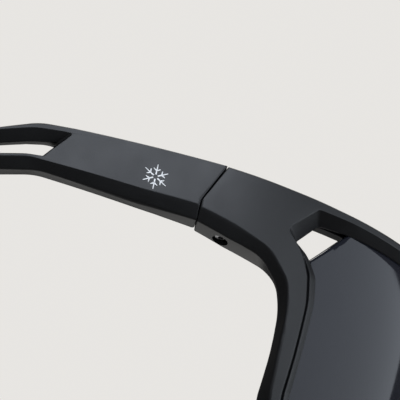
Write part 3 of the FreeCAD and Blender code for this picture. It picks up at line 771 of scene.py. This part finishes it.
for arm in range(6):
    arm_angle = math.radians(30 + 60 * arm)
    printed_bar(mark_reach - arm_start, arm_start, arm_angle, 0)
    for side in (1, -1):
        printed_bar(twig_length, twig_start, arm_angle, side * twig_turn)
for vert in mark_shape.verts:
    vert.co = temple_wrap(vert.co + Vector((mark_lift, mark_along, mark_height)))
bmesh.ops.recalc_face_normals(mark_shape, faces=mark_shape.faces)
white_print = moulded("white_print", colour=(0.86, 0.87, 0.88), roughness=0.5, grain=3000,
                      relief=0.000004)
both_sides(piece_of(mark_shape, "mark"), "temple_mark", white_print, "temple")

# ---- Hinge screws ------------------------------------------------------------------------------
# Dark stainless M1.6 screws, put in from below: a low head with a turned edge and a hexagon
# recess, and a shank that runs up through the bush into the threaded insert.

head_radius = 1.35
head_height = 1.0
shank_radius = 0.8
shank_top = 5.6
head_low = head_seat - head_height
screw_profile = [(0, head_low), (head_radius - 0.28, head_low),
                 (head_radius - 0.08, head_low + 0.1), (head_radius, head_low + 0.3),
                 (head_radius, head_seat), (shank_radius, head_seat)]
thread_pitch = 0.35
thread_depth = 0.12
thread_from = 2.8
for turn in range(int((shank_top - thread_from - 0.3) / thread_pitch)):
    height = thread_from + turn * thread_pitch
    screw_profile += [(shank_radius, height),
                      (shank_radius - thread_depth, height + thread_pitch / 2)]
screw_profile += [(shank_radius - 0.15, shank_top), (0, shank_top)]
screw = piece_of(turned_solid(screw_profile, 48), "screw")
recess_depth = 1.0
recess = bmesh.new()
bmesh.ops.create_cone(recess, cap_ends=True, segments=6, radius1=0.7, radius2=0.6,
                      depth=recess_depth)
bmesh.ops.translate(recess, verts=recess.verts, vec=(hinge_x, 0, head_low - 0.02))
carve(screw, piece_of(recess, "recess_tool"), "DIFFERENCE")


def turned_metal(name, colour, roughness):
    """Turned metal: fine rings from the tool, and faint tarnish."""
    material = bpy.data.materials.new(name)
    material.use_nodes = True
    nodes = material.node_tree.nodes
    links = material.node_tree.links
    shader = nodes["Principled BSDF"]
    shader.inputs["Metallic"].default_value = 1
    place = nodes.new("ShaderNodeTexCoord")
    rings = nodes.new("ShaderNodeTexWave")
    rings.wave_type = "BANDS"
    rings.bands_direction = "Z"
    rings.inputs["Scale"].default_value = 3000
    rings.inputs["Distortion"].default_value = 1.5
    tarnish = nodes.new("ShaderNodeTexNoise")
    tarnish.inputs["Scale"].default_value = 900
    for texture in (rings, tarnish):
        links.new(place.outputs["Object"], texture.inputs["Vector"])
    tone = nodes.new("ShaderNodeMix")
    tone.data_type = "RGBA"
    tone.inputs["A"].default_value = (*[0.7 * part for part in colour], 1)
    tone.inputs["B"].default_value = (*colour, 1)
    links.new(tarnish.outputs["Fac"], tone.inputs["Factor"])
    links.new(tone.outputs["Result"], shader.inputs["Base Color"])
    dull = nodes.new("ShaderNodeMapRange")
    dull.inputs["To Min"].default_value = roughness - 0.06
    dull.inputs["To Max"].default_value = roughness + 0.08
    links.new(tarnish.outputs["Fac"], dull.inputs["Value"])
    links.new(dull.outputs["Result"], shader.inputs["Roughness"])
    bump = nodes.new("ShaderNodeBump")
    bump.inputs["Strength"].default_value = 0.25
    bump.inputs["Distance"].default_value = 0.000004
    links.new(rings.outputs["Fac"], bump.inputs["Height"])
    links.new(bump.outputs["Normal"], shader.inputs["Normal"])
    return material


dark_steel = turned_metal("dark_steel", colour=(0.32, 0.32, 0.33), roughness=0.3)
both_sides(screw, "hinge_screw", dark_steel, "front", crease=30)

# ---- Hinge bushes ------------------------------------------------------------------------------
# Turned brass bushes, one pressed into the tongue of each temple, for the screw's shank to turn
# in. The ends of the bore and the outer edges are eased.

brass = turned_metal("turned_brass", colour=(0.78, 0.60, 0.30), roughness=0.25)
bush_bore, bush_mouth = 0.86, 0.95
bush_half, bush_eased = 2.3, 2.2
bush_profile = [(bush_mouth, -bush_half), (1.22, -bush_half), (bush_radius, -bush_eased),
                (bush_radius, bush_eased), (1.22, bush_half), (bush_mouth, bush_half),
                (bush_bore, bush_eased), (bush_bore, -bush_eased), (bush_mouth, -bush_half)]
both_sides(piece_of(turned_solid(bush_profile), "bush"), "hinge_bush", brass, "temple",
           crease=30)

# ---- Threaded inserts --------------------------------------------------------------------------
# Turned brass inserts that take the screws, pressed into the end pieces above the tongues. Four
# shallow grooves run round each, for the nylon to grip.

insert_low = 2.7
insert_mouth, insert_bore = 0.95, 0.83
insert_groove = 1.2
groove_rise = 0.08
insert_profile = [(insert_mouth, insert_low), (insert_groove, insert_low),
                  (insert_radius, insert_low + 0.1)]
for ring in range(4):
    height = insert_low + 0.5 + ring * 0.6
    insert_profile += [(insert_radius, height), (insert_groove, height + groove_rise),
                       (insert_groove, height + 2 * groove_rise),
                       (insert_radius, height + 3 * groove_rise)]
insert_profile += [(insert_radius, insert_top - 0.1), (insert_groove, insert_top),
                   (insert_mouth, insert_top), (insert_bore, insert_top - 0.12),
                   (insert_bore, insert_low + 0.12), (insert_mouth, insert_low)]
both_sides(piece_of(turned_solid(insert_profile), "insert"), "hinge_insert", brass,
           "front", crease=30)

# ---- Nose bracket ------------------------------------------------------------------------------
# A springy nylon arch clipped behind the nose arch of the frame. Its legs run down each side of
# the nose and hold the wires of the pads.

bracket_half = [(0, -11.7, 0), (5.5, -11.7, 4), (11.6, -14.0, 6), (18.6, -27.0, 0.8),
                (16.0, -28.4, 0.8), (9.6, -17.3, 6), (5.5, -14.2, 4), (0, -14.2, 0)]
bracket_front = 4.42
bracket_thickness = 2.5
bracket_back = bracket_front + bracket_thickness
bracket_corners = [Vector((along, bracket_front, height)) for along, height, _ in bracket_half]
bracket_radii = [corner[2] for corner in bracket_half]
bracket_cuts = [3, 3, 8, 1, 8, 3, 3]
bracket_line = moulding_line(bracket_corners, bracket_radii, bracket_cuts, closed=False)
bracket_shape = plate(whole_of(bracket_line), (0, bracket_thickness, 0))
ease_edges(bracket_shape, 0.3, 3, lambda at: at.y < bracket_front + 0.01)
ease_edges(bracket_shape, 0.55, 4, lambda at: at.y > bracket_back - 0.01)
slice_up(bracket_shape, axis=0, start=-18.0, end=18.0, step=1.5)
for vert in bracket_shape.verts:
    vert.co = front_wrap(vert.co)
bmesh.ops.recalc_face_normals(bracket_shape, faces=bracket_shape.faces)
bracket_nylon = moulded("bracket_nylon", colour=(0.018, 0.018, 0.019), roughness=0.5, grain=2200,
                        relief=0.000014)
bracket = piece_of(bracket_shape, "nose_bracket_part")
fit(bracket, bracket_nylon, "front", "nose_bracket")

# ---- Nose pads ---------------------------------------------------------------------------------
# Soft black elastomer pads, 15 by 8 by 2.6 mm, with a rounded rim and a shallow dish with four
# ribs on the side that rests on the nose. They are pushed on to the ends of their wires.

pad_length = 15.0
pad_width = 8.0
pad_thickness = 2.6
pad_place = (Matrix.Translation((10.4, -41.0, -23.5)) @ Matrix.Rotation(math.radians(-28), 4, "Z")
             @ Matrix.Rotation(math.radians(66), 4, "Y"))
pad_shape = bmesh.new()
bmesh.ops.create_cone(pad_shape, cap_ends=True, segments=48, radius1=pad_width / 2,
                      radius2=pad_width / 2, depth=pad_thickness)
disc = pad_shape.verts[:] + pad_shape.edges[:] + pad_shape.faces[:]
bmesh.ops.bisect_plane(pad_shape, geom=disc, dist=0.0001, plane_co=(0, 0, 0), plane_no=(1, 0, 0))
stretch = (pad_length - pad_width) / 2
for vert in pad_shape.verts:
    if abs(vert.co.x) > 0.01:
        vert.co.x += math.copysign(stretch, vert.co.x)
pad_rounding = 1.0
for face_side in (1, -1):
    ease_edges(pad_shape, pad_rounding, 6, lambda at: face_side * at.z > pad_thickness / 2 - 0.01
               and (abs(at.x) > 0.01 or abs(at.y) > pad_width / 2 - 0.01))
slice_up(pad_shape, axis=0, start=-7.4, end=7.4, step=0.3)
slice_up(pad_shape, axis=1, start=-3.9, end=3.9, step=0.6)
dish_depth = 0.35
dish_radius = pad_width / 2 - pad_rounding
rib_height = 0.16
rib_width = 1.4
ribs_within = 5.6
for vert in pad_shape.verts:
    if vert.co.z < 0.02 - pad_thickness / 2:
        off_middle = math.hypot(max(0.0, abs(vert.co.x) - stretch), vert.co.y)
        level = min(1.0, max(0.0, 1 - off_middle / dish_radius) * 2)
        rib = 0
        if abs(vert.co.x) < ribs_within:
            rib = rib_height * max(0.0, math.sin(vert.co.x * math.pi / rib_width))
        vert.co.z += (dish_depth - rib) * level
    vert.co = pad_place @ vert.co
bmesh.ops.recalc_face_normals(pad_shape, faces=pad_shape.faces)
pad_rubber = moulded("pad_rubber", colour=(0.02, 0.02, 0.021), roughness=0.58, grain=1800,
                     relief=0.00002)
pad = piece_of(pad_shape, "pad")
both_sides(pad, "nose_pad", pad_rubber, "front", crease=60)

# ---- Nose wires --------------------------------------------------------------------------------
# Springy steel wires, 1 mm thick, from the legs of the bracket to the pads. Their shape is the
# design's own, and only their finish is added.

for side in ("left", "right"):
    wire = frame["nodes"]["nose_wire_" + side]
    wire.data.materials.clear()
    wire.data.materials.append(dark_steel)
